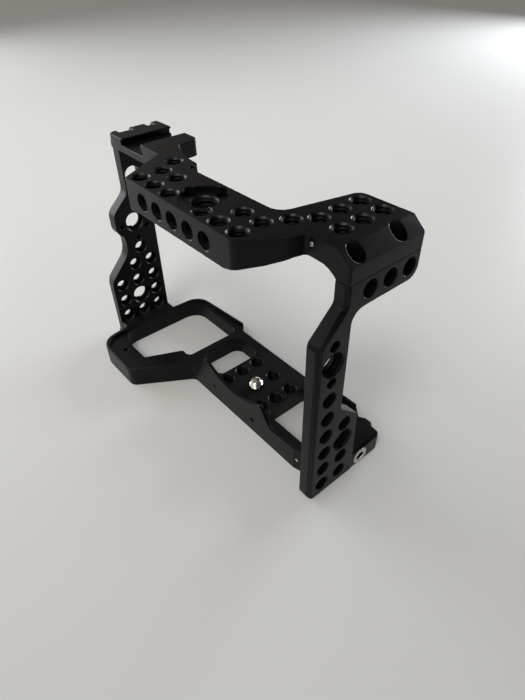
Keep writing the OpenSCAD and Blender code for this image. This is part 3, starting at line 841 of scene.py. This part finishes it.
def bare_core(work, core, thread_low, tip, dome_low):
    """Turns the camera screw's thread down to its core and its tip to the dome's foot."""
    for v in work.verts:
        plan = Vector((v.co.x - SCREW_AT[0] * MM, v.co.y - SCREW_AT[1] * MM))
        if v.co.z > (thread_low - 0.1) * MM and plan.length > core * MM:
            plan *= core * MM / plan.length
            v.co.x, v.co.y = plan.x + SCREW_AT[0] * MM, plan.y + SCREW_AT[1] * MM
        if v.co.z > (tip - 0.2) * MM:
            v.co.z = dome_low * MM


def add_dome(work, core, dome_low, tip, rings=8, spokes=40):
    """A closed dome on the camera screw's core."""
    rows = []
    for i in range(rings + 1):
        lift = i / rings * math.pi / 2
        wide, high = core * math.cos(lift), dome_low + (tip - dome_low) * math.sin(lift)
        count = 1 if i == rings else spokes
        rows.append([
            work.verts.new((
                (SCREW_AT[0] + wide * math.cos(2 * math.pi * j / count)) * MM,
                (SCREW_AT[1] + wide * math.sin(2 * math.pi * j / count)) * MM, high * MM))
            for j in range(count)])
    for low, high in zip(rows, rows[1:]):
        for j in range(spokes):
            k = (j + 1) % spokes
            if len(high) == 1:
                work.faces.new((low[j], low[k], high[0]))
            else:
                work.faces.new((low[j], low[k], high[k], high[j]))
    work.faces.new(list(reversed(rows[0])))


class CAGE_OT_camera_screw(Operator):
    """Turn the captive camera screw with its thread, and its washer"""

    bl_idname = "cage.camera_screw"
    bl_label = "Camera screw"

    def execute(self, context):
        pitch = sizes().quarter_pitch
        # radii of the thread's crest and core, and heights, in millimetres
        crest, thread_low, dome_low, tip = 3.1, 9.2, 12.05, 13.0
        core = crest - RIDGE * pitch / MM
        sunk, run_in, run_out = 0.02, 0.3, 0.9
        work = clean_copy("camera_screw")
        bare_core(work, core, thread_low, tip, dome_low)
        add_dome(work, core, dome_low, tip)
        add_piece(
            to_mesh(work, "camera_screw_turned"), "camera_screw_turned", "screw",
            [finish("steel"), finish("steel")], ("camera_screw",))
        length = (tip - thread_low - run_out) * MM
        mesh = bake_tree(
            "camera_screw_thread", [(*SCREW_AT, thread_low + run_in)],
            [("axis", "FLOAT_VECTOR", [UP])], thread_tree(),
            {"Radius": (core + sunk) * MM, "Turns": length / pitch, "Length": length,
             "Ridge": (crest - core - sunk) * MM, "Steps": 40, "Material": finish("steel")})
        smooth(mesh, SMOOTH_RIDGE)
        add_piece(mesh, "camera_screw_thread", "screw", [finish("steel")])
        turned("screw_washer", "screw_carrier", "steel", width=0.12 * MM)
        return {"FINISHED"}


class CAGE_OT_foot_screw(Operator):
    """Turn the pale socket screw in the port foot"""

    bl_idname = "cage.foot_screw"
    bl_label = "Foot screw"

    def execute(self, context):
        turned("foot_screw", BODY, "satin", width=0.12 * MM)
        return {"FINISHED"}


class CAGE_OT_fasteners(Operator):
    """Finish the small screws and the dowels"""

    bl_idname = "cage.fasteners"
    bl_label = "Small fasteners"

    def execute(self, context):
        for name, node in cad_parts.items():
            if "set_screw" in name:
                turned(name, BODY, "satin", width=0.06 * MM)
            elif "dowel" in name:
                node.data.materials.clear()
                node.data.materials.append(finish("satin"))
            elif name.split("_")[1] in ("joint", "foot") and "screw" in name:
                # Black screws whose broken rims take bright steel, a painted highlight.
                turned(name, BODY, "dark", width=0.35 * MM, rim="steel")
        return {"FINISHED"}


# --- the add-on ---


class CAGE_PT_panel(Panel):
    """The cage's builders in the sidebar"""

    bl_label = "Camera Cage"
    bl_idname = "CAGE_PT_panel"
    bl_space_type = "VIEW_3D"
    bl_region_type = "UI"
    bl_category = "Cage"

    def draw(self, context):
        for group in (context.scene.cage_sizes, context.scene.cage_colours):
            for name in group.bl_rna.properties.keys():
                if name not in ("rna_type", "name"):
                    self.layout.prop(group, name)
        for builder in BUILDERS:
            self.layout.operator(builder.bl_idname)


BUILDERS = (
    CAGE_OT_stage, CAGE_OT_top_frame, CAGE_OT_side_plate, CAGE_OT_base_plate, CAGE_OT_threads,
    CAGE_OT_ribs, CAGE_OT_camera_screw, CAGE_OT_foot_screw, CAGE_OT_fasteners)
CLASSES = (CageSizes, CageColours, *BUILDERS, CAGE_PT_panel)


def register():
    for cls in CLASSES:
        bpy.utils.register_class(cls)
    bpy.types.Scene.cage_sizes = PointerProperty(type=CageSizes)
    bpy.types.Scene.cage_colours = PointerProperty(type=CageColours)


def unregister():
    del bpy.types.Scene.cage_colours
    del bpy.types.Scene.cage_sizes
    for cls in reversed(CLASSES):
        bpy.utils.unregister_class(cls)


def main():
    """Makes the whole cage on its stage."""
    register()
    for builder in BUILDERS:
        group, name = builder.bl_idname.split(".")
        if getattr(getattr(bpy.ops, group), name)() != {"FINISHED"}:
            raise RuntimeError(builder.bl_label + " didn't finish")


if __name__ == "__main__":
    main()
